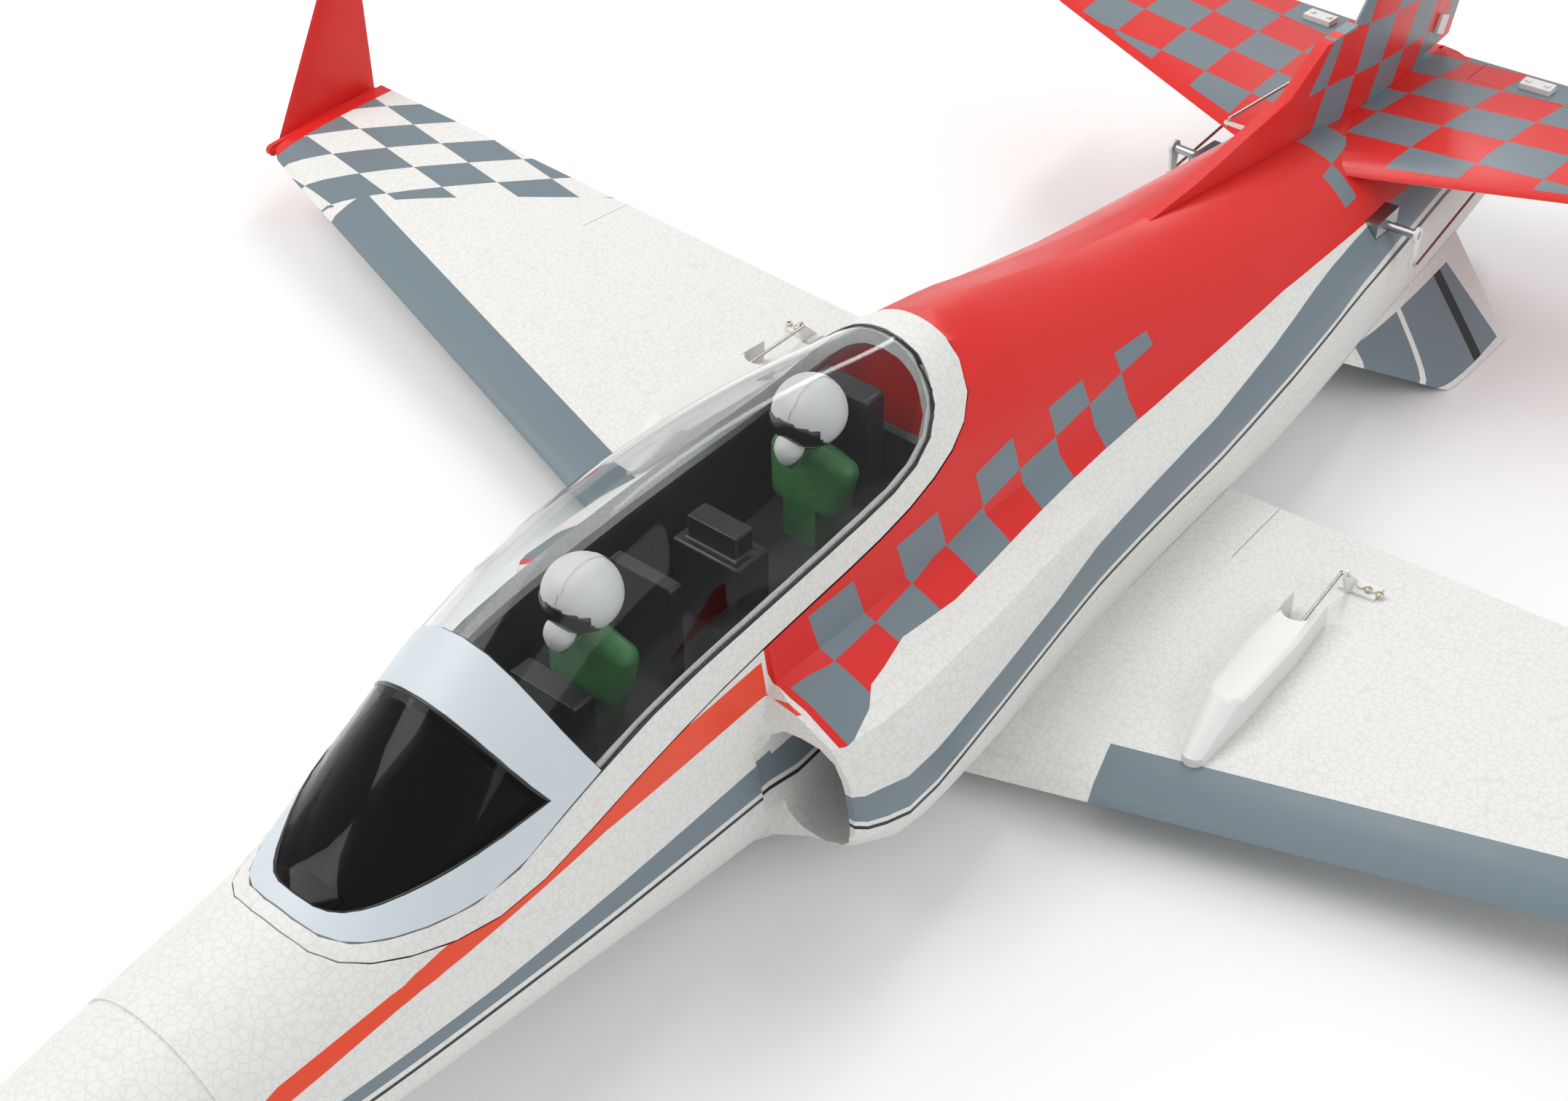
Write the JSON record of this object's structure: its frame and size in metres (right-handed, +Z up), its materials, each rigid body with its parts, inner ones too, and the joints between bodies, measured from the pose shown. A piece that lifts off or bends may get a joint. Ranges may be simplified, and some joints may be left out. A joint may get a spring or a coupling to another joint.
{
  "type": "rc jet plane",
  "caption": "Ducted fan model jet with tandem cockpit under a long canopy, side intakes, straight wings with winglets, moving ailerons, elevators and rudder, and a lift-off hatch.",
  "frame": {"origin": "centre of the footprint, on the ground under the keel", "axes": "+X to the pilot's left, +Y towards the tail, +Z up"},
  "size_m": [1, 0.9978, 0.2622],
  "materials": {
    "white_foam": "fine bead foam, matt",
    "red_foam": "film on bead foam, glossy",
    "white_plastic": "moulded",
    "pale_plastic": "satin",
    "clear_plastic": "clear",
    "black_plastic": "satin",
    "pilot_paint": "painted",
    "blue_plastic": "moulded",
    "dark_composite": "satin",
    "motor_metal": "turned",
    "tube_plastic": "formed sheet",
    "battery_wrap": "shrink wrap",
    "rod_steel": "wire"
  },
  "bodies": {
    "airframe": {"nose_cone": "white_foam", "fuselage_left": "white_foam", "fuselage_right": "white_foam", "belly_pan": "white_foam", "fan_hatch": "white_plastic", "wing_left": "white_foam", "wing_right": "white_foam", "winglet_left": "red_foam", "winglet_right": "red_foam", "servo_cover_left": "white_plastic", "servo_cover_right": "white_plastic", "wing_servos": "blue_plastic", "stabiliser": "red_foam", "tail_servos": "blue_plastic", "fin": "red_foam", "ventral_fins": "white_foam", "fan_shroud": "dark_composite", "fan_motor": "motor_metal", "thrust_tube": "tube_plastic", "battery": "battery_wrap", "battery_strap": "dark_composite", "speed_controller": "blue_plastic", "receiver": "blue_plastic", "wing_spar": "dark_composite", "hatch_screws": "rod_steel"},
    "canopy_hatch": {"hatch_rim": "white_foam", "canopy_frame": "pale_plastic", "windscreen": "clear_plastic", "canopy_glass": "clear_plastic", "coaming": "black_plastic", "cockpit_tub": "black_plastic", "cockpit_boxes": "black_plastic", "pilot_front": "pilot_paint", "pilot_rear": "pilot_paint"},
    "aileron_left_body": {"aileron_left": "white_foam", "aileron_horn_left": "white_plastic"},
    "aileron_arm_left_body": {"aileron_arm_left": "white_plastic"},
    "aileron_rod_left_body": {"aileron_rod_left": "rod_steel"},
    "elevator_left_body": {"elevator_left": "red_foam", "elevator_horn_left": "white_plastic"},
    "elevator_arm_left_body": {"elevator_arm_left": "white_plastic"},
    "elevator_rod_left_body": {"elevator_rod_left": "rod_steel"},
    "aileron_right_body": {"aileron_right": "white_foam", "aileron_horn_right": "white_plastic"},
    "aileron_arm_right_body": {"aileron_arm_right": "white_plastic"},
    "aileron_rod_right_body": {"aileron_rod_right": "rod_steel"},
    "elevator_right_body": {"elevator_right": "red_foam", "elevator_horn_right": "white_plastic"},
    "elevator_arm_right_body": {"elevator_arm_right": "white_plastic"},
    "elevator_rod_right_body": {"elevator_rod_right": "rod_steel"},
    "rudder_body": {"rudder": "red_foam", "rudder_horn": "white_plastic"},
    "rudder_arm_body": {"rudder_arm": "white_plastic"},
    "rudder_rod_body": {"rudder_rod": "rod_steel"},
    "fan_body": {"fan_rotor": "dark_composite"}
  },
  "joints": [
    {"name": "aileron_left_hinge", "type": "hinge", "parent": "airframe", "child": "aileron_left_body", "pos_m": [0.098, 0.09249, 0.02849], "axis": [0.9975, 0.0529, 0.0478], "range_deg": [-20, 20]},
    {"name": "aileron_arm_left_turn", "type": "hinge", "parent": "airframe", "child": "aileron_arm_left_body", "pos_m": [0.15139, 0.03324, 0.02589], "axis": [0.9975, 0.0529, 0.0478], "range_deg": [-20, 20]},
    {"name": "aileron_rod_left_pin", "type": "hinge", "parent": "aileron_arm_left_body", "child": "aileron_rod_left_body", "pos_m": [0.15063, 0.0332, 0.04187], "axis": [0.9975, 0.0529, 0.0478], "range_deg": [-20, 20]},
    {"name": "aileron_right_hinge", "type": "hinge", "parent": "airframe", "child": "aileron_right_body", "pos_m": [-0.098, 0.09249, 0.02849], "axis": [0.9975, -0.0529, -0.0478], "range_deg": [-20, 20]},
    {"name": "aileron_arm_right_turn", "type": "hinge", "parent": "airframe", "child": "aileron_arm_right_body", "pos_m": [-0.15139, 0.03324, 0.02589], "axis": [0.9975, -0.0529, -0.0478], "range_deg": [-20, 20]},
    {"name": "aileron_rod_right_pin", "type": "hinge", "parent": "aileron_arm_right_body", "child": "aileron_rod_right_body", "pos_m": [-0.15063, 0.0332, 0.04187], "axis": [0.9975, -0.0529, -0.0478], "range_deg": [-20, 20]},
    {"name": "elevator_left_hinge", "type": "hinge", "parent": "airframe", "child": "elevator_left_body", "pos_m": [0.03, 0.41535, 0.10952], "axis": [0.999, 0.045, 0], "range_deg": [-20, 20]},
    {"name": "elevator_arm_left_turn", "type": "hinge", "parent": "airframe", "child": "elevator_arm_left_body", "pos_m": [0.06745, 0.29491, 0.08752], "axis": [0.999, 0.045, 0], "range_deg": [-20, 20]},
    {"name": "elevator_rod_left_pin", "type": "hinge", "parent": "elevator_arm_left_body", "child": "elevator_rod_left_body", "pos_m": [0.06745, 0.29491, 0.07152], "axis": [0.999, 0.045, 0], "range_deg": [-20, 20]},
    {"name": "elevator_right_hinge", "type": "hinge", "parent": "airframe", "child": "elevator_right_body", "pos_m": [-0.03, 0.41535, 0.10952], "axis": [0.999, -0.045, 0], "range_deg": [-20, 20]},
    {"name": "elevator_arm_right_turn", "type": "hinge", "parent": "airframe", "child": "elevator_arm_right_body", "pos_m": [-0.06745, 0.29491, 0.08752], "axis": [0.999, -0.045, 0], "range_deg": [-20, 20]},
    {"name": "elevator_rod_right_pin", "type": "hinge", "parent": "elevator_arm_right_body", "child": "elevator_rod_right_body", "pos_m": [-0.06745, 0.29491, 0.07152], "axis": [0.999, -0.045, 0], "range_deg": [-20, 20]},
    {"name": "rudder_hinge", "type": "hinge", "parent": "airframe", "child": "rudder_body", "pos_m": [0, 0.4176, 0.11922], "axis": [0, 0.3714, 0.9285], "range_deg": [-25, 25]},
    {"name": "rudder_arm_turn", "type": "hinge", "parent": "airframe", "child": "rudder_arm_body", "pos_m": [-0.012, 0.27276, 0.1233], "axis": [0, 0.3714, 0.9285], "range_deg": [-25, 25]},
    {"name": "rudder_rod_pin", "type": "hinge", "parent": "rudder_arm_body", "child": "rudder_rod_body", "pos_m": [-0.028, 0.27276, 0.1233], "axis": [0, 0.3714, 0.9285], "range_deg": [-25, 25]},
    {"name": "fan_spin", "type": "hinge", "parent": "airframe", "child": "fan_body", "pos_m": [0, 0.0771, 0.06222], "axis": [0, 1, 0], "continuous": true},
    {"name": "hatch_lift", "type": "slide", "parent": "airframe", "child": "canopy_hatch", "axis": [0, 0, 1], "range_m": [0, 0.06]}
  ],
  "couplings": [
    {"joint": "aileron_arm_left_turn", "follows": "aileron_left_hinge", "ratio": 1},
    {"joint": "aileron_rod_left_pin", "follows": "aileron_left_hinge", "ratio": -1},
    {"joint": "aileron_arm_right_turn", "follows": "aileron_right_hinge", "ratio": 1},
    {"joint": "aileron_rod_right_pin", "follows": "aileron_right_hinge", "ratio": -1},
    {"joint": "elevator_arm_left_turn", "follows": "elevator_left_hinge", "ratio": 1},
    {"joint": "elevator_rod_left_pin", "follows": "elevator_left_hinge", "ratio": -1},
    {"joint": "elevator_right_hinge", "follows": "elevator_left_hinge", "ratio": 1},
    {"joint": "elevator_arm_right_turn", "follows": "elevator_left_hinge", "ratio": 1},
    {"joint": "elevator_rod_right_pin", "follows": "elevator_left_hinge", "ratio": -1},
    {"joint": "rudder_arm_turn", "follows": "rudder_hinge", "ratio": 1},
    {"joint": "rudder_rod_pin", "follows": "rudder_hinge", "ratio": -1}
  ]
}
